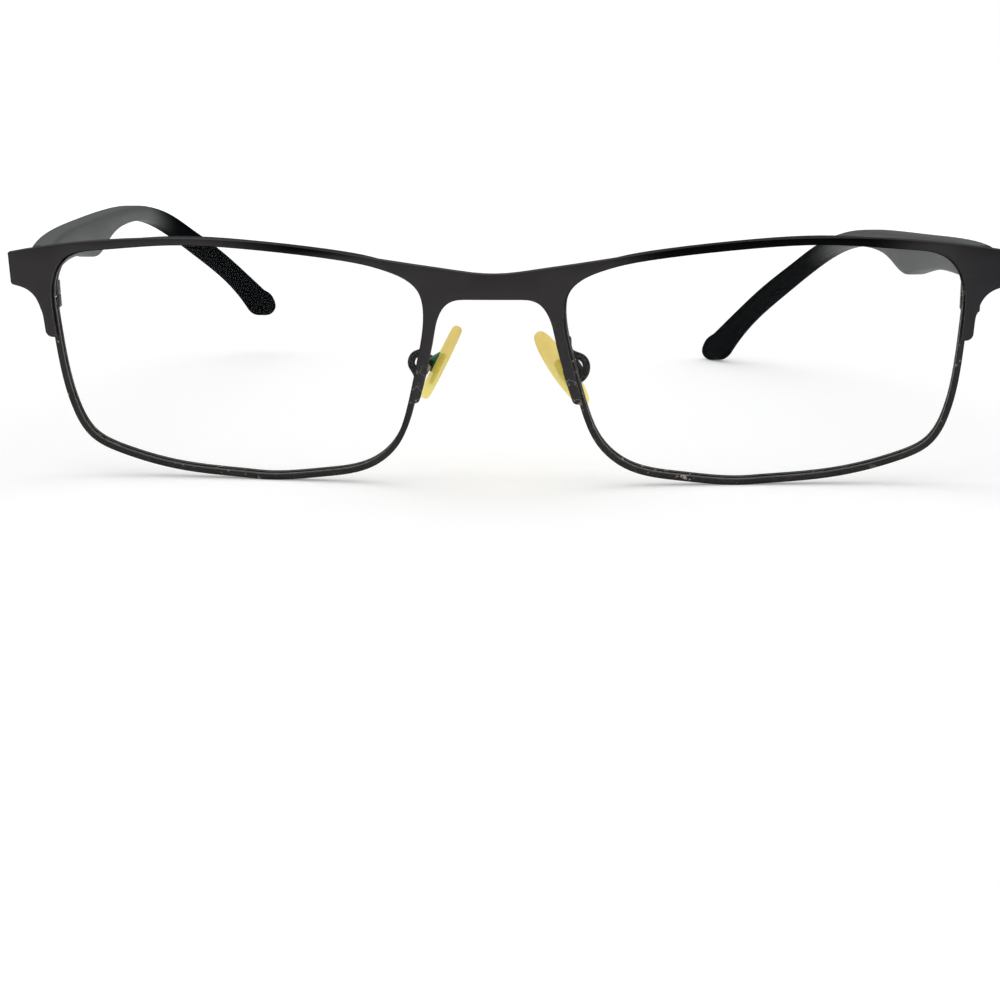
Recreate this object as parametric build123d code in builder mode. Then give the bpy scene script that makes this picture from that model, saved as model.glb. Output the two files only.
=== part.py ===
from build123d import *
import os
from math import asin, cos, radians, sin, sqrt

# Rectangular metal eyeglasses with plastic temples, standing open on a table.
# X runs to the right as seen from the front, Y runs back along the temples, Z is up.
# The origin is on the table, straight below the middle of the bridge.

# Overall sizes
plate_thickness = 0.9
front_tilt = 10.2
wrap_radius = 340.0
rise_radius = 162.0
table_height = 0.0
overrun = 2.0
seat_gap = 0.02

# Lens openings
lens_width = 53.55
lens_height = 33.25
lens_spacing = 19.5
rim_wall = 0.85
rim_depth = 1.9
groove_depth = 0.35
groove_width = 0.6
lens_thickness = 1.15
plate_setback = 0.3

# Heights on the front are measured from the lowest point of the rims
lens_middle = rim_wall + lens_height / 2
lens_top = rim_wall + lens_height
slab_reach = lens_height * 0.8
outline_steps = 60

# Lens opening seen from the front, as shares of its width and height.
# It starts at the lowest point and runs out, up and back along the top.
lens_outline_shares = [
    (0.475, 0.0),
    (0.677, 0.021),
    (0.856, 0.086),
    (0.931, 0.149),
    (0.966, 0.254),
    (0.988, 0.426),
    (1.0, 0.666),
    (0.993, 0.841),
    (0.957, 0.926),
    (0.864, 0.968),
    (0.658, 1.0),
    (0.447, 0.992),
    (0.229, 0.959),
    (0.083, 0.908),
    (0.014, 0.835),
    (0.001, 0.72),
    (0.021, 0.537),
    (0.053, 0.329),
    (0.094, 0.173),
    (0.158, 0.08),
    (0.294, 0.024),
]


def grown_outline(side, growth):
    """Points of one lens opening, moved outwards by a distance all round."""
    with BuildLine() as outline:
        Spline(
            *[
                (side * (lens_spacing / 2 + across * lens_width), rim_wall + up * lens_height)
                for across, up in lens_outline_shares
            ],
            periodic=True,
        )
    steps = [step / outline_steps for step in range(outline_steps)]
    places = [(outline.line @ step, outline.line % step) for step in steps]
    return [
        (place.X + side * growth * along.Y, place.Y - side * growth * along.X)
        for place, along in places
    ]


# The front stands tilted, its top towards the viewer, on the front edges of the two rims.
lean = radians(front_tilt)


def face_depth(x, height):
    """How far the face of the front lies back from its middle at one place."""
    bulge = wrap_radius - rise_radius + sqrt(rise_radius**2 - (height - lens_middle) ** 2)
    return wrap_radius - sqrt(bulge**2 - x**2)


rim_lift = table_height - min(
    cos(lean) * height + sin(lean) * (face_depth(x, height) + plate_thickness)
    for x, height in grown_outline(1, rim_wall)
)
front = Plane(origin=(0, 0, rim_lift), x_dir=(1, 0, 0), z_dir=(0, -cos(lean), -sin(lean)))
side_view = Plane(origin=front.origin, x_dir=-front.z_dir, z_dir=front.x_dir)


def surface_plane(x, height, depth):
    """Plane on the doubly curved front at one place, its Z axis pointing at the viewer."""
    rise = asin((height - lens_middle) / (rise_radius - depth))
    reach = wrap_radius - rise_radius + (rise_radius - depth) * cos(rise)
    turn = asin(x / reach)
    place = front.from_local_coords((x, height, reach * cos(turn) - wrap_radius))
    across = front.x_dir * cos(turn) - front.z_dir * sin(turn)
    back = front.x_dir * (-cos(rise) * sin(turn)) + front.y_dir * (-sin(rise))
    back = back - front.z_dir * (cos(rise) * cos(turn))
    return Plane(origin=place, x_dir=across, z_dir=-back)


def curved_slab(front_depth, back_depth):
    """Layer of the front between two depths behind its face, curved both ways."""
    with BuildPart() as layer:
        with BuildSketch(side_view):
            with BuildLine():
                near = rise_radius - sqrt((rise_radius - front_depth) ** 2 - slab_reach**2)
                far = rise_radius - sqrt((rise_radius - back_depth) ** 2 - slab_reach**2)
                low = lens_middle - slab_reach
                high = lens_middle + slab_reach
                ThreePointArc((near, low), (front_depth, lens_middle), (near, high))
                Line((near, high), (far, high))
                ThreePointArc((far, high), (back_depth, lens_middle), (far, low))
                Line((far, low), (near, low))
            make_face()
        revolve(axis=Axis(side_view.from_local_coords((wrap_radius, 0, 0)), front.y_dir))
    return layer.part


def lens_region(side, growth):
    """The lens opening of one side, grown by a distance, as a flat shape on the front."""
    with BuildSketch(front) as region:
        with BuildLine():
            Spline(*grown_outline(side, growth), periodic=True)
        make_face()
    return region.sketch


def pressed(profile, front_depth, back_depth):
    """A flat shape on the front, carried back through one curved layer."""
    through = wrap_radius / 10
    with BuildPart() as piece:
        extrude(profile, amount=-through)
        add(curved_slab(front_depth, back_depth), mode=Mode.INTERSECT)
    return piece.part


# Front plate: one stamping with the top bars, the bridge, two nose flanks that end in
# tabs, and two end lugs that end in short tabs on the outer sides of the rims.
lug_reach = 6.5
half_width = lens_spacing / 2 + lens_width + lug_reach
bar_cover = 1.2
bar_rise = 4.25
bridge_depth = 3.4
bar_shares = [(0.086, 0.14), (0.196, 0.39), (0.354, 0.765), (0.483, 0.953), (0.604, 1.0), (0.806, 0.81)]
bar_fall = 3.05
lug_height = 4.45
lug_taper = 0.1
lug_corner_radius = 0.45
side_tab_drop = 13.7
side_tab_inset = 4.85
side_tab_radius = 0.95
cove_height = 5.45
cove_shares = [(0.5, 0.11), (0.79, 0.33), (0.93, 0.62), (1.0, 1.0)]
nose_tab_drop = 21.3
nose_tab_inset = 1.0
nose_tab_radius = 0.75
arch_flat = 4.0
arch_shares = [(0.36, 0.05), (0.56, 0.2), (0.68, 0.445), (0.815, 0.695)]

plate_top = lens_top + bar_cover
bridge_top = plate_top - bar_rise
bridge_underside = bridge_top - bridge_depth
side_tab_end = lens_top - side_tab_drop
nose_tab_end = lens_top - nose_tab_drop
nose_tab_half_gap = lens_spacing / 2 + nose_tab_inset
arch_height = bridge_underside - nose_tab_end
arch_spread = nose_tab_half_gap - arch_flat
lug_top = plate_top - bar_fall
lug_bottom = lug_top - lug_height
cove_end = lug_bottom - cove_height
tab_edge = half_width - side_tab_inset
inside_x = lens_spacing / 2 + lens_width / 2

with BuildSketch(front) as plate_profile:
    with BuildLine():
        Spline(
            (0, bridge_top),
            *[(across * half_width, bridge_top + up * bar_rise) for across, up in bar_shares],
            (half_width, lug_top),
            tangents=[(1, 0), (1, -0.22)],
        )
        Line((half_width, lug_top), (half_width - lug_taper, lug_bottom))
        Spline(
            (half_width - lug_taper, lug_bottom),
            *[
                (half_width - lug_taper - across * (side_tab_inset - 2 * lug_taper), lug_bottom - down * cove_height)
                for across, down in cove_shares
            ],
            tangents=[(-1, -0.2), (-0.05, -1)],
        )
        Polyline(
            (tab_edge + lug_taper, cove_end),
            (tab_edge, side_tab_end),
            (inside_x, side_tab_end),
            (inside_x, nose_tab_end),
            (nose_tab_half_gap, nose_tab_end),
        )
        Spline(
            (arch_flat, bridge_underside),
            *[(arch_flat + out * arch_spread, bridge_underside - down * arch_height) for out, down in arch_shares],
            (nose_tab_half_gap, nose_tab_end),
            tangents=[(1, 0), (0.3, -1)],
        )
        Polyline((arch_flat, bridge_underside), (0, bridge_underside), (0, bridge_top))
    make_face()
    corners = plate_profile.vertices()
    fillet(corners.sort_by_distance((half_width - lug_taper, lug_bottom))[0], radius=lug_corner_radius)
    fillet(plate_profile.vertices().sort_by_distance((tab_edge, side_tab_end))[0], radius=side_tab_radius)
    fillet(plate_profile.vertices().sort_by_distance((nose_tab_half_gap, nose_tab_end))[0], radius=nose_tab_radius)
    mirror(about=Plane.YZ)
    for side in (-1, 1):
        add(front.to_local_coords(lens_region(side, plate_setback)), mode=Mode.SUBTRACT)

with BuildPart() as front_plate:
    add(pressed(plate_profile.sketch, 0, plate_thickness))

# Rims: one band of metal around each lens, with an inner groove, slit on its outer side
# between the two closing blocks.
lock_slit = 0.12
lock_slit_drop = 8.35
lock_slit_height = lens_top - lock_slit_drop
lock_inner_x = inside_x + lens_width / 2
lock_width = 2.5
lock_screw_inset = 0.85
upper_lock_height = 1.95
lower_lock_height = 1.7
lock_depth = 2.9
rim_back = plate_thickness + rim_depth


def rim_disc(side):
    """Everything inside the outer edge of one rim, as deep as the rim."""
    return pressed(lens_region(side, rim_wall), plate_thickness, rim_back)


def make_rim(side, disc):
    groove_middle = plate_thickness + rim_depth / 2
    with BuildPart() as rim:
        add(disc)
        add(pressed(lens_region(side, 0), 0, rim_back + overrun), mode=Mode.SUBTRACT)
        add(
            pressed(
                lens_region(side, groove_depth),
                groove_middle - groove_width / 2,
                groove_middle + groove_width / 2,
            ),
            mode=Mode.SUBTRACT,
        )
        with BuildSketch(front):
            with Locations((side * lock_inner_x, lock_slit_height)):
                Rectangle(2 * lock_width, lock_slit)
        extrude(amount=-wrap_radius / 10, mode=Mode.SUBTRACT)
    return rim


# Lenses: an even curved sheet with a bevel all round that sits in the groove of the rim.
bevel_width = groove_width - 2 * seat_gap
bevel_depth = groove_depth - seat_gap


def make_lens(side):
    middle = plate_thickness + rim_depth / 2
    with BuildPart() as lens:
        add(pressed(lens_region(side, -seat_gap), middle - lens_thickness / 2, middle + lens_thickness / 2))
        add(pressed(lens_region(side, bevel_depth), middle - bevel_width / 2, middle + bevel_width / 2))
    return lens


# Closing blocks: two blocks on the outer side of each rim, above and below the slit,
# wrapped round the back of the rim, and pulled together by one upright screw.
lock_screw_radius = 0.5
lock_screw_clearance = 0.04
lock_head_radius = 0.8
lock_head_height = 0.7
lock_screw_back = 1.6
lock_screw_depth = plate_thickness + lock_screw_back
lock_screw_reach = upper_lock_height - 0.35
driver_slot = 0.22
driver_slot_depth = 0.25


def lock_axis(side):
    """Plane across the closing screw at the height of the slit, its Z axis pointing up."""
    screw_x = side * (lock_inner_x + lock_width - lock_screw_inset)
    place = surface_plane(screw_x, lock_slit_height, lock_screw_depth).origin
    return Plane(origin=place, x_dir=(1, 0, 0), z_dir=front.y_dir)


def make_lock(side, disc, height, upward, hole_radius):
    low = lock_slit_height + upward * (lock_slit + height) / 2
    with BuildSketch(front) as face:
        with Locations((side * (lock_inner_x + lock_width / 2), low)):
            Rectangle(lock_width, height)
        fillet(face.vertices().group_by(Axis.X)[-1 if side > 0 else 0], radius=lock_width / 8)
    with BuildPart() as lock:
        add(pressed(face.sketch, plate_thickness, plate_thickness + lock_depth))
        add(disc, mode=Mode.SUBTRACT)
        with BuildSketch(lock_axis(side)):
            Circle(hole_radius)
        extrude(amount=lock_depth * 2, both=True, mode=Mode.SUBTRACT)
    return lock


def make_lock_screw(side):
    axis = lock_axis(side)
    bottom = -lock_slit / 2 - lower_lock_height
    with BuildPart() as screw:
        with BuildSketch(axis.offset(bottom)):
            Circle(lock_screw_radius)
        extrude(amount=-bottom + lock_screw_reach)
        with BuildSketch(axis.offset(bottom)):
            Circle(lock_head_radius)
        extrude(amount=-lock_head_height)
        chamfer(screw.edges().group_by(Axis.Z)[0], length=lock_head_height / 5)
        with BuildSketch(axis.offset(bottom - lock_head_height)):
            Rectangle(driver_slot, lock_head_radius * 3)
        extrude(amount=driver_slot_depth, mode=Mode.SUBTRACT)
    return screw


# Hinges: the pin axis of each side, and how far each temple stands from fully open.
hinge_inset = 3.5
hinge_above_lug = 2.85
hinge_back = 3.96
hinge_seat = surface_plane(half_width - hinge_inset, lug_bottom + hinge_above_lug, plate_thickness).origin
temple_rise = {-1: 2.3, 1: -1.2}
temple_swing = {-1: 0.0, 1: 14.6}
knuckle_radius = 1.05
knuckle_height = 1.05
knuckle_gap = 0.05
pin_radius = 0.5
pin_clearance = 0.05
pin_head_radius = 0.8
pin_head_height = 0.35
wall_clearance = 0.1


def hinge_plane(side, swing):
    """Plane across one hinge pin: X outward on the right, Y back, Z up the pin."""
    rise = radians(temple_rise[side])
    turn = radians(swing)
    pin = Vector(0, -sin(rise), cos(rise))
    across = Vector(cos(turn), sin(turn) * cos(rise), sin(turn) * sin(rise))
    place = (side * hinge_seat.X, hinge_seat.Y + hinge_back, hinge_seat.Z)
    return Plane(origin=place, x_dir=across, z_dir=pin)


# Endpieces: a block soldered behind each end lug of the plate, with a wall that runs
# back and ends in the flat face the open temple stops against.
endpiece_top = 1.75
endpiece_bottom = 2.05
endpiece_inset = 1.85
endpiece_front = 5.6
endpiece_slab = 2.85
endpiece_wall = 1.85
endpiece_flare = 3.1
butt_face = 0.2
wall_inside = knuckle_radius + wall_clearance
flare_start = 4.35


def make_endpiece(side, front_layer):
    plane = hinge_plane(side, 0)
    with BuildPart() as endpiece:
        with BuildSketch(plane.offset(-endpiece_bottom)):
            with BuildLine():
                Polyline(
                    (-side * endpiece_inset, -endpiece_front),
                    (side * endpiece_flare, -endpiece_front),
                    (side * endpiece_flare, -flare_start),
                    (side * endpiece_wall, butt_face),
                    (side * wall_inside, butt_face),
                    (side * wall_inside, -endpiece_slab),
                    (-side * endpiece_inset, -endpiece_slab),
                    close=True,
                )
            make_face()
        extrude(amount=endpiece_top + endpiece_bottom)
        outside = endpiece.edges().filter_by(Axis((0, 0, 0), plane.z_dir)).sort_by_distance(
            plane.from_local_coords((side * endpiece_flare, -flare_start, 0))
        )
        fillet(outside[0], radius=flare_start)
        add(front_layer, mode=Mode.SUBTRACT)
    return endpiece


# Front half of each hinge: two knuckles on a root block inside the endpiece.
hinge_root_inset = 0.45
hinge_root_back = knuckle_radius + 0.2


def make_front_hinge(side):
    plane = hinge_plane(side, 0)
    half_stack = knuckle_height * 1.5 + knuckle_gap
    with BuildPart() as hinge:
        with BuildSketch(plane.offset(-half_stack)):
            with Locations((side * (wall_inside - hinge_root_inset) / 2, -endpiece_slab / 2)):
                Rectangle(wall_inside + hinge_root_inset, endpiece_slab)
            Circle(knuckle_radius)
        extrude(amount=2 * half_stack)
        with BuildSketch(plane.offset(-knuckle_height / 2 - knuckle_gap)):
            with Locations((0, overrun - hinge_root_back)):
                Rectangle(endpiece_slab * 2, overrun * 2)
        extrude(amount=knuckle_height + 2 * knuckle_gap, mode=Mode.SUBTRACT)
        with BuildSketch(plane.offset(-half_stack)):
            Circle(pin_radius)
        extrude(amount=2 * half_stack, mode=Mode.SUBTRACT)
    return hinge


def make_hinge_screw(side):
    plane = hinge_plane(side, 0)
    half_stack = knuckle_height * 1.5 + knuckle_gap
    with BuildPart() as screw:
        with BuildSketch(plane.offset(-half_stack)):
            Circle(pin_radius)
        extrude(amount=2 * half_stack)
        with BuildSketch(plane.offset(half_stack)):
            Circle(pin_head_radius)
        extrude(amount=pin_head_height)
        chamfer(screw.edges().group_by(Axis.Z)[-1], length=pin_head_height / 4)
        with BuildSketch(plane.offset(half_stack + pin_head_height)):
            Rectangle(pin_head_radius * 3, driver_slot)
        extrude(amount=-pin_head_height / 2, mode=Mode.SUBTRACT)
    return screw


# Temples: long plastic side pieces, bowed outwards in plan, deepest a third of the way
# along and bent down over the ear.
temple_length = 141.0
temple_bow_share = 0.061
temple_bow_place_share = 0.468
temple_tip_offset_share = -0.0177
temple_depth_share = 0.03546
temple_bow = temple_length * temple_bow_share
temple_bow_place = temple_length * temple_bow_place_share
temple_tip_offset = temple_length * temple_tip_offset_share
temple_depth = temple_length * temple_depth_share
temple_flare = 0.26
temple_thickness = 3.3
temple_tip_thickness = 3.0
temple_edge_radius = 0.7
temple_top_shares = [
    (0.0, 0.42),
    (0.175, 0.4),
    (0.317, 0.32),
    (0.44, 0.28),
    (0.553, 0.12),
    (0.61, -0.14),
    (0.674, -0.62),
    (0.726, -1.18),
    (0.82, -2.3),
    (0.9, -3.5),
    (0.957, -4.46),
]
temple_bottom_shares = [
    (0.9385, -5.26),
    (0.879, -3.96),
    (0.794, -2.7),
    (0.709, -1.64),
    (0.603, -0.66),
    (0.55, -0.42),
    (0.479, -0.36),
    (0.404, -0.62),
    (0.344, -1.0),
    (0.309, -0.9),
    (0.234, -0.64),
    (0.17, -0.56),
    (0.0, -0.5),
]
temple_nose_shares = [(0.978, -4.745), (0.9915, -5.305)]
lip_inside = knuckle_radius + 3 * pin_clearance
notch_back = knuckle_radius + 0.3
leaf_half_width = 0.45
leaf_length = 9.0
leaf_anchor_start = 3.0
leaf_anchor_height = 2.4


def temple_leaf(side):
    """Plan outline of the metal leaf that runs back from the knuckle inside the plastic."""
    with BuildLine() as outline:
        Polyline(
            (side * leaf_half_width, 0),
            (side * (leaf_half_width + temple_flare * leaf_length), leaf_length),
            (side * (-leaf_half_width + temple_flare * leaf_length), leaf_length),
            (-side * leaf_half_width, 0),
            close=True,
        )
    return outline.line


def make_temple_hinge(side):
    plane = hinge_plane(side, temple_swing[side])
    with BuildPart() as hinge:
        with BuildSketch(plane.offset(-knuckle_height / 2)):
            Circle(knuckle_radius)
            with BuildLine():
                add(temple_leaf(side))
            make_face()
        extrude(amount=knuckle_height)
        with BuildSketch(plane.offset(-leaf_anchor_height / 2)):
            with BuildLine():
                add(temple_leaf(side))
            make_face()
            with Locations((0, leaf_anchor_start / 2 - overrun)):
                Rectangle(leaf_length, leaf_anchor_start + 2 * overrun, mode=Mode.SUBTRACT)
        extrude(amount=leaf_anchor_height)
        with BuildSketch(plane.offset(-leaf_anchor_height)):
            Circle(pin_radius + pin_clearance)
        extrude(amount=2 * leaf_anchor_height, mode=Mode.SUBTRACT)
    return hinge


def make_temple(side, leaf):
    plane = hinge_plane(side, temple_swing[side])
    profile = Plane(origin=plane.origin, x_dir=plane.y_dir, z_dir=plane.x_dir)
    half = temple_thickness / 2
    half_tip = temple_tip_thickness / 2
    with BuildPart() as temple:
        with BuildSketch(plane):
            with BuildLine():
                ThreePointArc(
                    (side * half, butt_face),
                    (side * (temple_bow + half), temple_bow_place),
                    (side * (temple_tip_offset + half_tip), temple_length),
                )
                Line(
                    (side * (temple_tip_offset + half_tip), temple_length),
                    (side * (temple_tip_offset - half_tip), temple_length),
                )
                ThreePointArc(
                    (side * (temple_tip_offset - half_tip), temple_length),
                    (side * (temple_bow - half), temple_bow_place),
                    (-side * half, butt_face),
                )
                Line((-side * half, butt_face), (side * half, butt_face))
            make_face()
        extrude(amount=temple_length / 2, both=True)
        with BuildSketch(profile):
            with BuildLine():
                top = Spline(*[(along * temple_length, up * temple_depth) for along, up in temple_top_shares])
                bottom = Spline(*[(along * temple_length, up * temple_depth) for along, up in temple_bottom_shares])
                nose = [(along * temple_length, up * temple_depth) for along, up in temple_nose_shares]
                Spline(top @ 1, *nose, bottom @ 0, tangents=[top % 1, bottom % 0])
                Line(bottom @ 1, top @ 0)
            make_face()
        extrude(amount=temple_length / 2, both=True, mode=Mode.INTERSECT)
        long_edges = temple.edges().filter_by(lambda edge: edge.length > temple_length / 2)
        fillet(long_edges, radius=temple_edge_radius)
        with BuildSketch(plane.offset(-temple_depth)):
            with Locations((side * (lip_inside - endpiece_front) , notch_back - endpiece_front)):
                Rectangle(2 * endpiece_front, 2 * endpiece_front)
        extrude(amount=2 * temple_depth, mode=Mode.SUBTRACT)
        add(leaf, mode=Mode.SUBTRACT)
    return temple


# Nose pads: soft ovals whose tops lean together, each on a metal insert whose tab
# rocks on a small screw in a box at the end of the pad arm. The arms start on the back
# of the rims, and the pads keep their distance from there. Wear has bent the two arms
# unlike each other, so the right pad hangs lower and leans more, and the top of the
# left pad comes forward.
arm_root_outset = 0.1
arm_root_drop = 12.6
arm_root_x = lens_spacing / 2 + arm_root_outset
arm_root = surface_plane(arm_root_x, lens_top - arm_root_drop, rim_back).origin
left_pad_inset = 0.9
right_pad_inset = 0.6
left_pad_drop = 5.11
right_pad_drop = 5.91
pad_inset = {-1: left_pad_inset, 1: right_pad_inset}
pad_drop = {-1: left_pad_drop, 1: right_pad_drop}
pad_back = 5.76
pad_lean = {-1: 27.0, 1: 34.5}
pad_splay = {-1: 7.0, 1: 13.0}
pad_pitch = {-1: 20.0, 1: -4.0}
pad_length = 12.3
pad_width = 6.8
pad_thickness = 1.4
pad_edge_radius = 0.6
pad_above_screw = 1.1
insert_length = 5.0
insert_width = 3.6
insert_thickness = 0.5
tab_thickness = 0.9
tab_height = 1.3
gusset_height = 2.3
gusset_root = 0.85
pad_pivot = 1.5
box_start = 1.0
box_end = 2.5
box_back_wall = 0.25
box_wall = 0.4
box_height = 2.2
box_gap = 0.05
pad_screw_radius = 0.35
pad_screw_clearance = 0.04
pad_head_radius = 0.6
pad_head_height = 0.3
box_half_width = tab_thickness / 2 + box_gap + box_wall


def pad_plane(side):
    """Plane in one pad, level with its screw: X up its length, Z outwards to the arm."""
    slope = radians(pad_lean[side])
    turn = radians(pad_splay[side])
    pitch = radians(pad_pitch[side])
    long_axis = Vector(-side * sin(slope), -sin(pitch) * cos(slope), cos(pitch) * cos(slope))
    back = Vector(side * sin(turn), cos(turn), 0)
    outward = (back - long_axis * back.dot(long_axis)).cross(long_axis).normalized() * side
    place = (side * (arm_root.X - pad_inset[side]), arm_root.Y + pad_back, arm_root.Z - pad_drop[side])
    return Plane(origin=place, x_dir=long_axis, z_dir=outward)


def make_pad_insert(side):
    plane = pad_plane(side)
    tab_end = pad_pivot + tab_height / 2
    across = Plane(origin=plane.origin, x_dir=plane.x_dir, z_dir=-plane.y_dir)
    with BuildPart() as insert:
        with BuildSketch(plane.offset(-insert_thickness / 2)):
            Ellipse(insert_length / 2, insert_width / 2)
        extrude(amount=insert_thickness)
        with BuildSketch(across.offset(-tab_thickness / 2)):
            with Locations((0, pad_pivot)):
                Circle(tab_height / 2)
            with Locations((0, pad_pivot / 2)):
                Rectangle(tab_height, pad_pivot)
            with BuildLine():
                Polyline(
                    (0, 0),
                    (gusset_height, 0),
                    (gusset_height, gusset_root),
                    (0, pad_pivot + tab_height / 2),
                    close=True,
                )
            make_face()
        extrude(amount=tab_thickness)
        with BuildSketch(across.offset(-tab_thickness)):
            with Locations((0, pad_pivot)):
                Circle(pad_screw_radius + pad_screw_clearance)
        extrude(amount=2 * tab_thickness, mode=Mode.SUBTRACT)
    return insert


def make_nose_pad(side, insert):
    plane = pad_plane(side)
    with BuildPart() as pad:
        with BuildSketch(plane.offset(-pad_thickness / 2)):
            with Locations((pad_above_screw, 0)):
                Ellipse(pad_length / 2, pad_width / 2)
        extrude(amount=pad_thickness)
        fillet(pad.edges(), radius=pad_edge_radius)
        add(insert, mode=Mode.SUBTRACT)
    return pad


def pad_box_block(side):
    """The pad box before it is hollowed."""
    plane = pad_plane(side)
    with BuildPart() as block:
        with BuildSketch(plane.offset(box_start)):
            Rectangle(box_height, 2 * box_half_width)
        extrude(amount=box_end - box_start)
    return block.part


def make_pad_box(side):
    plane = pad_plane(side)
    across = Plane(origin=plane.origin, x_dir=plane.x_dir, z_dir=-plane.y_dir)
    with BuildPart() as box:
        add(pad_box_block(side))
        with BuildSketch(plane.offset(box_end - box_back_wall)):
            Rectangle(2 * box_height, tab_thickness + 2 * box_gap)
        extrude(amount=-box_end, mode=Mode.SUBTRACT)
        with BuildSketch(across.offset(-overrun)):
            with Locations((0, pad_pivot)):
                Circle(pad_screw_radius)
        extrude(amount=2 * overrun, mode=Mode.SUBTRACT)
    return box


def make_pad_screw(side):
    plane = pad_plane(side)
    across = Plane(origin=plane.origin, x_dir=plane.x_dir, z_dir=side * plane.y_dir)
    high = pad_pivot if side < 0 else -pad_pivot
    with BuildPart() as screw:
        with BuildSketch(across.offset(-box_half_width)):
            with Locations((0, high)):
                Circle(pad_screw_radius)
        extrude(amount=2 * box_half_width)
        with BuildSketch(across.offset(box_half_width)):
            with Locations((0, high)):
                Circle(pad_head_radius)
        extrude(amount=pad_head_height)
        with BuildSketch(across.offset(box_half_width + pad_head_height)):
            with Locations((0, high)):
                Rectangle(pad_head_radius * 3, driver_slot)
        extrude(amount=-pad_head_height / 2, mode=Mode.SUBTRACT)
    return screw


# Pad arms: round wire soldered to the back of the rim, looped outwards and led back
# along the underside of the pad box.
arm_radius = 0.52
arm_reach = 2.45
arm_back = 5.0
arm_seat = 0.29
arm_end = 0.3
arm_path_shares = [
    (0.0, 0.24, 0.1),
    (0.02, 0.4, 0.3),
    (0.3, 0.52, 0.42),
    (0.8, 0.6, 0.52),
    (1.0, 0.64, 0.74),
    (0.8, 0.7, 0.95),
]


def make_pad_arm(side, front_layer):
    root = Vector(side * arm_root.X, arm_root.Y, arm_root.Z)
    plane = pad_plane(side)
    end_place = (-box_height / 2 - arm_seat, -side * arm_end, (box_start + box_end) / 2)
    end = plane.from_local_coords(end_place)
    arm_drop = root.Z - end.Z
    points = [
        root + Vector(side * out * arm_reach, back * arm_back, -down * arm_drop)
        for out, back, down in arm_path_shares
    ]
    with BuildPart() as arm:
        with BuildLine() as path:
            Spline(
                root + Vector(0, -arm_radius, 0),
                *points,
                end,
                tangents=[(0, 1, 0), tuple(plane.y_dir * -side)],
            )
        with BuildSketch(Plane(origin=path.line @ 0, z_dir=path.line % 0)):
            Circle(arm_radius)
        sweep()
        add(front_layer, mode=Mode.SUBTRACT)
        add(pad_box_block(side), mode=Mode.SUBTRACT)
    return arm


def save(piece, name):
    """Label one sub-part and write it to its own file."""
    piece.part.label = name
    export_step(piece.part, f"parts/{name}.step")


os.makedirs("parts", exist_ok=True)
save(front_plate, "front_plate")
behind_rim = curved_slab(-overrun, rim_back)
behind_plate = curved_slab(-overrun, plate_thickness)
for side, word in ((-1, "left"), (1, "right")):
    disc = rim_disc(side)
    save(make_rim(side, disc), f"{word}_rim")
    save(make_lens(side), f"{word}_lens")
    loose = lock_screw_radius + lock_screw_clearance
    save(make_lock(side, disc, upper_lock_height, 1, lock_screw_radius), f"{word}_rim_lock_upper")
    save(make_lock(side, disc, lower_lock_height, -1, loose), f"{word}_rim_lock_lower")
    save(make_lock_screw(side), f"{word}_rim_lock_screw")
    save(make_endpiece(side, behind_plate), f"{word}_endpiece")
    save(make_front_hinge(side), f"{word}_front_hinge")
    save(make_hinge_screw(side), f"{word}_hinge_screw")
    temple_hinge = make_temple_hinge(side)
    save(temple_hinge, f"{word}_temple_hinge")
    save(make_temple(side, temple_hinge.part), f"{word}_temple")
    pad_insert = make_pad_insert(side)
    save(pad_insert, f"{word}_pad_insert")
    save(make_nose_pad(side, pad_insert.part), f"{word}_nose_pad")
    save(make_pad_box(side), f"{word}_pad_box")
    save(make_pad_screw(side), f"{word}_pad_screw")
    save(make_pad_arm(side, behind_rim), f"{word}_pad_arm")
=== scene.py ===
import math

import bpy
from mathutils import Matrix, Vector


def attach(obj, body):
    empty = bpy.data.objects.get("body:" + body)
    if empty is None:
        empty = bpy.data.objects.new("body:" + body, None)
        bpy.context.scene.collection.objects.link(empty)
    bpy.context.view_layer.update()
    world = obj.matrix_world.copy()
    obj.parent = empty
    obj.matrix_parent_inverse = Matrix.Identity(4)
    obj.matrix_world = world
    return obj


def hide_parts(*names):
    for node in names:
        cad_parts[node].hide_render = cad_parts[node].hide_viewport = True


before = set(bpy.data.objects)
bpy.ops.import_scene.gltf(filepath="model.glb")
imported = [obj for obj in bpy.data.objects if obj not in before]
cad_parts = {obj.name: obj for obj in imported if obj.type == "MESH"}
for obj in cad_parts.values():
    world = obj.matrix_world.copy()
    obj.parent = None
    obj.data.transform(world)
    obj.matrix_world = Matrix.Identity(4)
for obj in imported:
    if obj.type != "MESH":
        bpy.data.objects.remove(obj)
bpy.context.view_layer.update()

# Camera: a long lens a little right of the middle and above the front, looking down at it.
camera_place = Vector((0.02885, -0.2739, 0.0540))
camera_right = Vector((0.99474, 0.10214, -0.00814))
camera_back = Vector((0.10171, -0.97475, 0.19881))
camera_up = Vector((-0.01238, 0.19859, 0.98))
film_width = 36
focal_length = 72
nearest_seen = 0.01

camera_data = bpy.data.cameras.new("photo_camera")
camera_data.sensor_width = film_width
camera_data.lens = focal_length
camera_data.clip_start = nearest_seen
camera = bpy.data.objects.new("photo_camera", camera_data)
turn = Matrix((camera_right, camera_up, camera_back)).transposed()
camera.matrix_world = Matrix.Translation(camera_place) @ turn.to_4x4()
bpy.context.collection.objects.link(camera)
bpy.context.scene.camera = camera
bpy.context.scene.view_settings.view_transform = "Standard"


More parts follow.
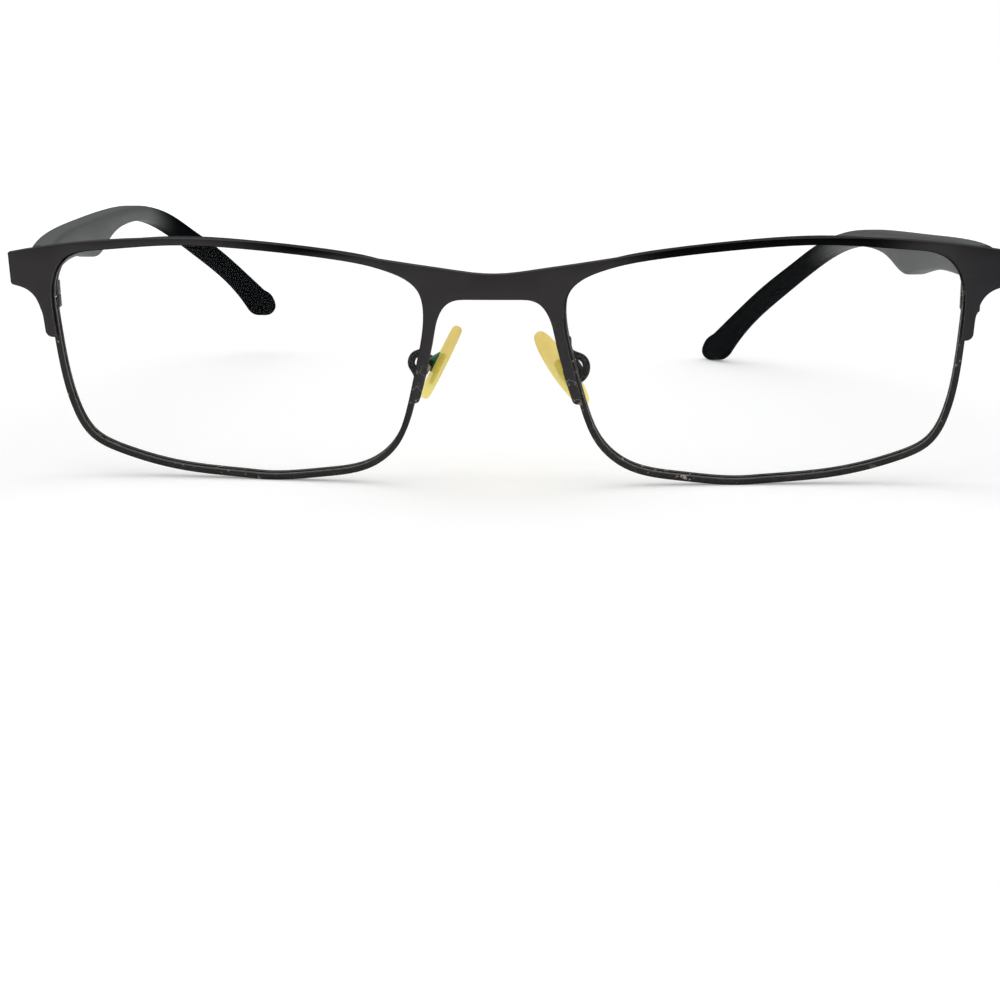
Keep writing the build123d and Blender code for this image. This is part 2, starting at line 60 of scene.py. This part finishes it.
# Node maths: a socket that adds and multiplies like a number, a tree that is filled through
# one method, and a finish that holds one material's nodes.
class Signal:
    def __init__(self, tree, socket):
        self.tree = tree
        self.socket = socket

    def math(self, operation, other, swapped=False):
        node = self.tree.nodes.new("ShaderNodeMath")
        node.operation = operation
        pair = (other, self) if swapped else (self, other)
        for inlet, value in zip(node.inputs, pair):
            if isinstance(value, Signal):
                self.tree.links.new(value.socket, inlet)
            else:
                inlet.default_value = value
        return Signal(self.tree, node.outputs[0])

    def __add__(self, other):
        return self.math("ADD", other)

    def __sub__(self, other):
        return self.math("SUBTRACT", other)

    def __rsub__(self, other):
        return self.math("SUBTRACT", other, swapped=True)

    def __mul__(self, other):
        return self.math("MULTIPLY", other)

    __radd__ = __add__
    __rmul__ = __mul__


class Nodes:
    def __init__(self, tree, ending):
        self.tree = tree
        self.ending = tree.nodes[ending]

    def node(self, kind, settings=None, sockets=None, out=0):
        """Adds a node, sets it up, feeds its sockets and gives the named output."""
        node = self.tree.nodes.new(kind)
        for name, value in (settings or {}).items():
            setattr(node, name, value)
        for name, value in (sockets or {}).items():
            if isinstance(value, Signal):
                self.tree.links.new(value.socket, node.inputs[name])
            else:
                node.inputs[name].default_value = value
        return Signal(self.tree, node.outputs[out])

    def mixed(self, share, first, second):
        """One shader turning into another."""
        return self.node("ShaderNodeMixShader", sockets={0: share, 1: first, 2: second})

    def show(self, shader):
        self.tree.links.new(shader.socket, self.ending.inputs[0])

    def ray(self, kind):
        """One for rays of one kind, zero for the others."""
        return self.node("ShaderNodeLightPath", out=f"Is {kind} Ray")


class Finish(Nodes):
    def __init__(self, name):
        self.material = bpy.data.materials.new(name)
        self.material.use_nodes = True
        super().__init__(self.material.node_tree, "Material Output")
        self.shader = self.tree.nodes["Principled BSDF"]
        self.plain = Signal(self.tree, self.shader.outputs[0])
        self.place = self.node("ShaderNodeTexCoord", out="Object")

    def noise(self, scale, detail=3.0, roughness=0.55):
        return self.node(
            "ShaderNodeTexNoise",
            sockets={"Vector": self.place, "Scale": scale, "Detail": detail, "Roughness": roughness},
        )

    def step(self, value, low, high):
        """Zero below one value, one above another, smooth between."""
        return self.node(
            "ShaderNodeMapRange",
            {"interpolation_type": "SMOOTHSTEP", "clamp": True},
            {"Value": value, "From Min": low, "From Max": high},
        )

    def near(self, point, reach):
        """One close to a point, fading to zero at a distance."""
        gap = self.node(
            "ShaderNodeVectorMath", {"operation": "DISTANCE"}, {0: self.place, 1: point}, out="Value"
        )
        return 1 - self.step(gap, reach * 0.35, reach)

    def blend(self, share, first, second):
        """One colour turning into another."""
        return self.node(
            "ShaderNodeMix",
            {"data_type": "RGBA"},
            {
                0: share,
                6: (*first, 1) if isinstance(first, tuple) else first,
                7: (*second, 1) if isinstance(second, tuple) else second,
            },
            out=2,
        )

    def axis(self, name):
        return self.node("ShaderNodeSeparateXYZ", sockets={0: self.place}, out=name)

    def bump(self, height, strength, distance):
        normal = self.node(
            "ShaderNodeBump", sockets={"Height": height, "Strength": strength, "Distance": distance}
        )
        self.tree.links.new(normal.socket, self.shader.inputs["Normal"])

    def feed(self, **sockets):
        """Sets or links the shader's own sockets."""
        for name, value in sockets.items():
            inlet = self.shader.inputs[name.replace("_", " ")]
            if isinstance(value, Signal):
                self.tree.links.new(value.socket, inlet)
            elif isinstance(value, tuple) and inlet.type == "RGBA":
                inlet.default_value = (*value, 1)
            else:
                inlet.default_value = value


# Table: a wide white top. It glows a little for the camera, more so far behind the part,
# so that it fades into the white room without a horizon.
table_size = 40
table_middle = 10
table_grey = 0.86
glow_start = 0.3
glow_full = 1.0
glow_near = 0.22
glow_gain = 0.6

bpy.ops.object.select_all(action="DESELECT")
bpy.ops.mesh.primitive_grid_add(
    x_subdivisions=2, y_subdivisions=2, size=table_size, location=(0, table_middle, 0)
)
floor = bpy.context.object
floor.name = "table_top"
table = Finish("table_white")
table.feed(Base_Color=(table_grey, table_grey, table_grey), Roughness=0.95, Specular_IOR_Level=0.0)
table_far = table.step(table.axis("Y"), glow_start - table_middle, glow_full - table_middle)
table_glow = table.node("ShaderNodeEmission", sockets={"Strength": table_far * glow_gain + glow_near})
table_bright = table.node("ShaderNodeAddShader", sockets={0: table.plain, 1: table_glow})
table_seen = table.ray("Camera") + table.ray("Transmission")
table.show(table.mixed(table_seen.math("MINIMUM", 1.0), table.plain, table_bright))
floor.data.materials.append(table.material)

# Lamp: one soft square above and behind the part, which gives the table its faint shadows.
lamp_place = Vector((-0.10, 0.10, 0.90))
lamp_aim = Vector((0, 0.02, 0))
lamp_size = 0.9
lamp_power = 1.3

lamp_data = bpy.data.lights.new("top_lamp", "AREA")
lamp_data.size = lamp_size
lamp_data.energy = lamp_power
lamp = bpy.data.objects.new("top_lamp", lamp_data)
lamp_turn = (lamp_aim - lamp_place).to_track_quat("-Z", "Y").to_matrix()
lamp.matrix_world = Matrix.Translation(lamp_place) @ lamp_turn.to_4x4()
bpy.context.collection.objects.link(lamp)

# Room: white where the camera sees it, a little dimmer as a light, and dark near the
# horizon in reflections, so that glossy pieces keep their depth.
white = (1, 1, 1, 1)
room_light = 0.82
room_seen = 1.0
mirror_low = 0.25
mirror_high = 0.9
mirror_dark = 0.10
mirror_bright = 0.75

room = bpy.data.worlds.new("white_room")
bpy.context.scene.world = room
room.use_nodes = True
air = Nodes(room.node_tree, "World Output")
way = air.node("ShaderNodeTexCoord", out="Generated")
mirror_light = air.node(
    "ShaderNodeMapRange",
    sockets={
        "Value": air.node("ShaderNodeSeparateXYZ", sockets={0: way}, out="Z"),
        "From Min": mirror_low,
        "From Max": mirror_high,
        "To Min": mirror_dark,
        "To Max": mirror_bright,
    },
)
lit, mirrored, seen = (
    air.node("ShaderNodeBackground", sockets={"Color": white, "Strength": strength})
    for strength in (room_light, mirror_light, room_seen)
)
air_clear = air.ray("Camera").math("MAXIMUM", air.ray("Transmission"))
air.show(air.mixed(air_clear, air.mixed(air.ray("Glossy"), lit, mirrored), seen))

# Dressing a CAD piece: a smoothed copy of its node with the edges broken, in one finish.
smooth_angle = math.radians(28)
weld_gap = 0.000002
edge_segments = 2


def mesh_step(*steps):
    """Runs operators on the whole mesh of the active object."""
    bpy.ops.object.mode_set(mode="EDIT")
    bpy.ops.mesh.select_all(action="SELECT")
    for operator, options in steps:
        operator(**options)
    bpy.ops.object.mode_set(mode="OBJECT")


def picked(piece):
    """Makes one object the only selected and active one."""
    bpy.ops.object.select_all(action="DESELECT")
    bpy.context.view_layer.objects.active = piece
    piece.select_set(True)


def placed(piece, node, body, finish):
    """Smooths a piece, colours it and gives it the node's place on its body."""
    bpy.ops.object.shade_smooth_by_angle(angle=smooth_angle)
    piece.data.materials.clear()
    piece.data.materials.append(finish.material)
    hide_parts(node)
    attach(piece, body)


def dressed(node, body, finish, edge=0.0):
    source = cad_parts[node]
    piece = source.copy()
    piece.data = source.data.copy()
    piece.parent = None
    piece.matrix_world = Matrix.Identity(4)
    piece.name = f"{node}_finished"
    piece.data.name = piece.name
    bpy.context.collection.objects.link(piece)
    picked(piece)
    mesh_step((bpy.ops.mesh.remove_doubles, {"threshold": weld_gap}))
    if edge:
        bevel = piece.modifiers.new("broken_edges", "BEVEL")
        bevel.width = edge
        bevel.segments = edge_segments
        bevel.limit_method = "ANGLE"
        bevel.angle_limit = smooth_angle
        bpy.ops.object.modifier_apply(modifier=bevel.name)
    placed(piece, node, body, finish)


# Front plate: one stamping of coated metal, curved round the face, with softly broken edges. Its top bars
# and its right lug are painted darker as painted shade, and the tabs at the nose are scratched bare.
plate_edge = 0.00009
plate_grain_height = 0.00003
bar_bottom, bar_full = 0.0296, 0.0316
bar_inner, bar_inner_full = 0.014, 0.024
top_bottom, top_full = 0.0318, 0.0336
black_left, black_left_full = -0.042, -0.026
black_right, black_right_end = 0.050, 0.060
lug_start, lug_full = 0.060, 0.068
tab_x, tab_z, tab_reach = 0.0110, 0.0126, 0.0030
flank_x, flank_left_z, flank_right_z, flank_reach = 0.0104, 0.0165, 0.0155, 0.0022
face_y = -0.002

plate = Finish("plate_gunmetal")
plate_cloud = plate.noise(90, 4)
plate_grain = plate.noise(2600, 2)
# Painted shade: the right lug, past lug_start, is painted darker.
right_lug_painted_shade = plate.step(plate.axis("X"), lug_start, lug_full)
plate_colour = plate.blend(plate_cloud * 0.9, (0.019, 0.0165, 0.018), (0.034, 0.030, 0.032))
plate_colour = plate.blend(right_lug_painted_shade * 0.7, plate_colour, (0.008, 0.007, 0.011))
# Painted shade: the top bars and the top edge are painted near black, and made more metallic.
plate_top = plate.step(plate.axis("Z"), top_bottom, top_full)
plate_bar = plate.step(plate.axis("Z"), bar_bottom, bar_full)
plate_bar = plate_bar * plate.step(plate.axis("X"), bar_inner, bar_inner_full)
plate_span = plate.step(plate.axis("X"), black_left, black_left_full)
plate_span = plate_span * (1 - plate.step(plate.axis("X"), black_right, black_right_end))
top_bar_painted_shade = plate_top.math("MAXIMUM", plate_bar) * plate_span
plate_colour = plate.blend(top_bar_painted_shade * 0.9, plate_colour, (0.003, 0.003, 0.0035))
tabs = plate.near((-tab_x, face_y, tab_z), tab_reach) + plate.near((tab_x, face_y, tab_z), tab_reach)
flanks = plate.near((-flank_x, face_y, flank_left_z), flank_reach)
flanks = flanks + plate.near((flank_x, face_y, flank_right_z), flank_reach)
plate_lines = (plate.noise(420, 3, 0.6) - 0.5).math("ABSOLUTE", 0.0)
scratch = 1 - plate.step(plate_lines, 0.004, 0.016)
worn = (tabs + 0.6 * flanks) * scratch * 0.7
plate.feed(
    Base_Color=plate.blend(worn, plate_colour, (0.34, 0.33, 0.31)),
    Metallic=(0.25 + worn * 0.6 + top_bar_painted_shade * 0.75).math("MINIMUM", 1.0),
    Roughness=0.36 + plate_cloud * 0.16 + plate_grain * 0.05,
    Specular_IOR_Level=0.4,
)
plate.bump(plate_grain, 0.12, plate_grain_height)
dressed("front_plate", "front", plate, plate_edge)

# Rims: a thin metal band round each lens, coated grey and painted near black along the top as painted shade
# under the plate's bars, with flecks of bare metal where the coat has rubbed off lower down.
rim_edge = 0.00007
rim_grain_height = 0.00003
rim_dark_bottom, rim_dark_full = 0.0296, 0.0320

rim = Finish("rim_worn_grey_with_painted_shade")
rim_cloud = rim.noise(160, 4)
rim_fleck = rim.step(rim.noise(620, 5, 0.7), 0.60, 0.66)
rim_rub = rim.step(rim.noise(60, 2), 0.42, 0.62)
# Painted shade: the rim's top, under the plate's bars, is painted near black.
rim_top_painted_shade = rim.step(rim.axis("Z"), rim_dark_bottom, rim_dark_full)
rim_coat = rim.blend(rim_cloud, (0.011, 0.0105, 0.0105), (0.052, 0.048, 0.045))
rim_coat = rim.blend(rim_top_painted_shade, rim_coat, (0.003, 0.003, 0.0035))
bare = rim_fleck * rim_rub * (1 - rim_top_painted_shade)
rim.feed(
    Base_Color=rim.blend(bare, rim_coat, (0.46, 0.41, 0.33)),
    Metallic=0.72 + (bare + rim_top_painted_shade) * 0.28,
    Roughness=0.42 - bare * 0.1 + rim_cloud * 0.1,
)
rim.bump(rim.noise(2200, 3), 0.15, rim_grain_height)
for side in ("left", "right"):
    dressed(f"{side}_rim", "front", rim, rim_edge)

# Lenses: clear plastic sheets with a polished surface, curved like the front. Each reaches
# a little way into the groove of its rim, so its edge doesn't show.
lens_outline_shares = [
    (0.475, 0.0), (0.677, 0.021), (0.856, 0.086), (0.931, 0.149), (0.966, 0.254), (0.988, 0.426),
    (1.0, 0.666), (0.993, 0.841), (0.957, 0.926), (0.864, 0.968), (0.658, 1.0), (0.447, 0.992),
    (0.229, 0.959), (0.083, 0.908), (0.014, 0.835), (0.001, 0.72), (0.021, 0.537), (0.053, 0.329),
    (0.094, 0.173), (0.158, 0.08), (0.294, 0.024),
]
lens_width = 0.05355
lens_height = 0.03325
lens_spacing = 0.0195
lens_thickness = 0.00115
lens_under_rim = 0.0003
plate_thickness = 0.0009
rim_wall = 0.00085
rim_depth = 0.0019
lens_depth = plate_thickness + rim_depth / 2 - lens_thickness / 2
front_tilt = math.radians(10.2)
front_lift = -0.0005817
front_wrap = 0.340
front_rise = 0.162
front_middle = rim_wall + lens_height / 2
outline_steps = 10
ring_shares = (0.95, 0.94, 0.93, 0.9, 0.88, 0.85, 0.8, 0.7, 0.5)


def on_front(x, height, depth):
    """The place at one depth behind the curved face of the front."""
    bulge = front_wrap - front_rise + math.sqrt(front_rise**2 - (height - front_middle) ** 2)
    back = depth + front_wrap - math.sqrt(bulge**2 - x**2)
    return Vector((
        x,
        math.cos(front_tilt) * back - math.sin(front_tilt) * height,
        front_lift + math.cos(front_tilt) * height + math.sin(front_tilt) * back,
    ))


def lens_outline(name, way_out):
    """The closed outline of one lens, flat on the table, as a mesh of edges."""
    outline = bpy.data.curves.new(f"{name}_outline", "CURVE")
    loop = outline.splines.new("BEZIER")
    loop.bezier_points.add(len(lens_outline_shares) - 1)
    loop.use_cyclic_u = True
    loop.resolution_u = outline_steps
    for handle, (across, up) in zip(loop.bezier_points, lens_outline_shares):
        x = way_out * (lens_spacing / 2 + across * lens_width)
        handle.co = (x, rim_wall + up * lens_height, 0)
        handle.handle_left_type = "AUTO"
        handle.handle_right_type = "AUTO"
    piece = bpy.data.objects.new(f"{name}_finished", outline)
    bpy.context.collection.objects.link(piece)
    picked(piece)
    bpy.ops.object.convert(target="MESH")
    return piece


lens = Finish("lens_polished")
lens.feed(
    Base_Color=lens.blend(lens.noise(30, 2), (0.985, 0.992, 0.988), (0.992, 0.994, 0.994)),
    Transmission_Weight=1.0,
    IOR=1.12,
    Roughness=0.0,
)
lens.show(lens.mixed(lens.ray("Shadow"), lens.plain, lens.node("ShaderNodeBsdfTransparent")))
outward = (bpy.ops.mesh.normals_make_consistent, {"inside": False})
for name, way_out in (("left_lens", -1), ("right_lens", 1)):
    piece = lens_outline(name, way_out)
    middle = Vector((way_out * (lens_spacing / 2 + lens_width / 2), front_middle, 0))
    for corner in piece.data.vertices:
        corner.co += (corner.co - middle).normalized() * lens_under_rim
    rings = []
    for share in ring_shares:
        rings.append((bpy.ops.mesh.extrude_edges_move, {}))
        rings.append((bpy.ops.transform.resize, {"value": (share, share, share), "center_override": middle}))
    mesh_step(*rings, (bpy.ops.mesh.merge, {"type": "CENTER"}))
    for corner in piece.data.vertices:
        corner.co = on_front(corner.co.x, corner.co.y, lens_depth)
    mesh_step(outward)
    facing = sum(face.normal.y for face in piece.data.polygons)
    wall = piece.modifiers.new("thickness", "SOLIDIFY")
    wall.thickness = lens_thickness
    wall.offset = -1 if facing < 0 else 1
    bpy.ops.object.modifier_apply(modifier=wall.name)
    mesh_step(outward)
    placed(piece, name, "front", lens)

# Closing blocks and screws: two small coated blocks on the outer side of each rim, pulled
# together by one upright steel screw with a slot in its head.
block_edge = 0.00012
block_grain_height = 0.00003
screw_edge = 0.00004
screw_grain_height = 0.00002

block = Finish("block_worn_grey")
block_cloud = block.noise(300, 4)
block.feed(
    Base_Color=block.blend(block_cloud, (0.030, 0.028, 0.027), (0.085, 0.078, 0.070)),
    Metallic=0.3,
    Roughness=0.36 + block_cloud * 0.15,
)
block.bump(block.noise(2600, 2), 0.15, block_grain_height)
screw = Finish("screw_steel")
screw_turning = screw.noise(1800, 3)
screw.feed(
    Base_Color=screw.blend(screw_turning, (0.30, 0.29, 0.28), (0.50, 0.48, 0.45)),
    Metallic=1.0,
    Roughness=0.28 + screw_turning * 0.2,
)
screw.bump(screw_turning, 0.2, screw_grain_height)
for side in ("left", "right"):
    dressed(f"{side}_rim_lock_upper", "front", block, block_edge)
    dressed(f"{side}_rim_lock_lower", "front", block, block_edge)
    dressed(f"{side}_rim_lock_screw", "front", screw, screw_edge)

# Endpieces: cast blocks behind the end lugs, their coat rubbed to a paler grey, each with
# a wall that the open temple stops against.
cast_edge = 0.00012
cast_grain_height = 0.00003

cast = Finish("endpiece_rubbed_grey")
cast_cloud = cast.noise(240, 4)
cast.feed(
    Base_Color=cast.blend(cast_cloud, (0.050, 0.049, 0.050), (0.115, 0.112, 0.110)),
    Metallic=0.3,
    Roughness=0.42 + cast_cloud * 0.14,
)
cast.bump(cast.noise(2400, 2), 0.12, cast_grain_height)
for side in ("left", "right"):
    dressed(f"{side}_endpiece", "front", cast, cast_edge)

# Hinges: plain steel knuckles and leaves, dulled by handling, on bright pins.
knuckle_edge = 0.00007
leaf_edge = 0.00006
hinge_grain_height = 0.00002

hinge = Finish("hinge_dull_steel")
hinge_cloud = hinge.noise(400, 4)
hinge.feed(
    Base_Color=hinge.blend(hinge_cloud, (0.13, 0.125, 0.12), (0.26, 0.25, 0.235)),
    Metallic=1.0,
    Roughness=0.38 + hinge_cloud * 0.2,
)
hinge.bump(hinge.noise(3000, 2), 0.15, hinge_grain_height)
for side in ("left", "right"):
    dressed(f"{side}_front_hinge", "front", hinge, knuckle_edge)
    dressed(f"{side}_hinge_screw", "front", screw, screw_edge)
    dressed(f"{side}_temple_hinge", f"{side}_temple", hinge, leaf_edge)

# Temples: long moulded side pieces, smooth, paler grey at the front and black over the ear; the paler front
# grey is partly the temple's own colour and partly painted reflection of light from the lenses.
grey_end = 0.086
black_start = 0.103
temple_grain_height = 0.00004

side_piece = Finish("temple_plastic")
# From front to tip: the paler grey at the front is partly painted reflection of light from the lenses.
along = side_piece.step(side_piece.axis("Y"), grey_end, black_start)
temple_cloud = side_piece.noise(70, 4)
temple_colour = side_piece.blend(along, (0.100, 0.104, 0.106), (0.0045, 0.0065, 0.0085))
side_piece.feed(
    Base_Color=side_piece.blend(temple_cloud * 0.08, temple_colour, (0.030, 0.030, 0.029)),
    Metallic=along * 0.8,
    Roughness=0.42 + temple_cloud * 0.12,
    Specular_IOR_Level=0.25,
)
side_piece.bump(side_piece.noise(3200, 2), 0.08, temple_grain_height)
temple_dull = side_piece.node("ShaderNodeBsdfDiffuse", sockets={"Color": (0.0010, 0.0018, 0.0022, 1)})
side_piece.show(side_piece.mixed(along * 0.94, side_piece.plain, temple_dull))
for side in ("left", "right"):
    dressed(f"{side}_temple", f"{side}_temple", side_piece)

# Pad arms and boxes: bent wire with a glossy black coat, soldered to the rim, with a small
# box at its end that holds the pad's tab on a cross screw.
box_edge = 0.00006
pad_screw_edge = 0.00003
gloss_grain_height = 0.00003

gloss = Finish("arm_black_gloss")
gloss_cloud = gloss.noise(350, 3)
gloss.feed(
    Base_Color=gloss.blend(gloss_cloud, (0.004, 0.004, 0.005), (0.012, 0.012, 0.013)),
    Roughness=0.24 + gloss_cloud * 0.1,
    Specular_IOR_Level=0.35,
    Metallic=0.3,
)
gloss.bump(gloss.noise(1500, 2), 0.06, gloss_grain_height)
for side in ("left", "right"):
    dressed(f"{side}_pad_arm", "front", gloss)
    dressed(f"{side}_pad_box", "front", gloss, box_edge)
    dressed(f"{side}_pad_screw", "front", screw, pad_screw_edge)

# Pad inserts: a small metal core with a tab, tarnished green inside the pad.
insert_edge = 0.00004
insert_grain_height = 0.00003

core = Finish("insert_tarnish")
core_cloud = core.noise(700, 4)
core.feed(
    Base_Color=core.blend(core_cloud, (0.020, 0.150, 0.085), (0.090, 0.330, 0.190)),
    Metallic=0.3,
    Roughness=0.45 + core_cloud * 0.2,
)
core.bump(core_cloud, 0.15, insert_grain_height)
for side in ("left", "right"):
    dressed(f"{side}_pad_insert", f"{side}_pad", core, insert_edge)

# Nose pads: soft see-through ovals, yellowed by wear, pale at the bottom and amber at the
# top. A little glow stands for the light that passes through them.
pad_bottom = 0.0125
pad_top = 0.0215
pad_glow = 0.22
pad_grain_height = 0.00004

pad = Finish("pad_yellowed")
pad_cloud = pad.noise(260, 4)
pad_height = pad.step(pad.axis("Z"), pad_bottom, pad_top)
pad_colour = pad.blend(pad_height * 0.8 + pad_cloud * 0.2, (1.0, 0.90, 0.24), (0.62, 0.41, 0.035))
pad.feed(
    Base_Color=pad_colour,
    Alpha=0.50 + pad_cloud * 0.1,
    Roughness=0.22 + pad_cloud * 0.1,
    Specular_IOR_Level=0.3,
    Emission_Color=pad_colour,
    Emission_Strength=pad_glow,
)
pad_through = pad.node("ShaderNodeBsdfTranslucent", sockets={"Color": (1.0, 0.88, 0.30, 1)})
pad.show(pad.mixed(0.30 + pad_cloud * 0.1, pad.plain, pad_through))
pad.bump(pad.noise(900, 3), 0.1, pad_grain_height)
for side in ("left", "right"):
    dressed(f"{side}_nose_pad", f"{side}_pad", pad)
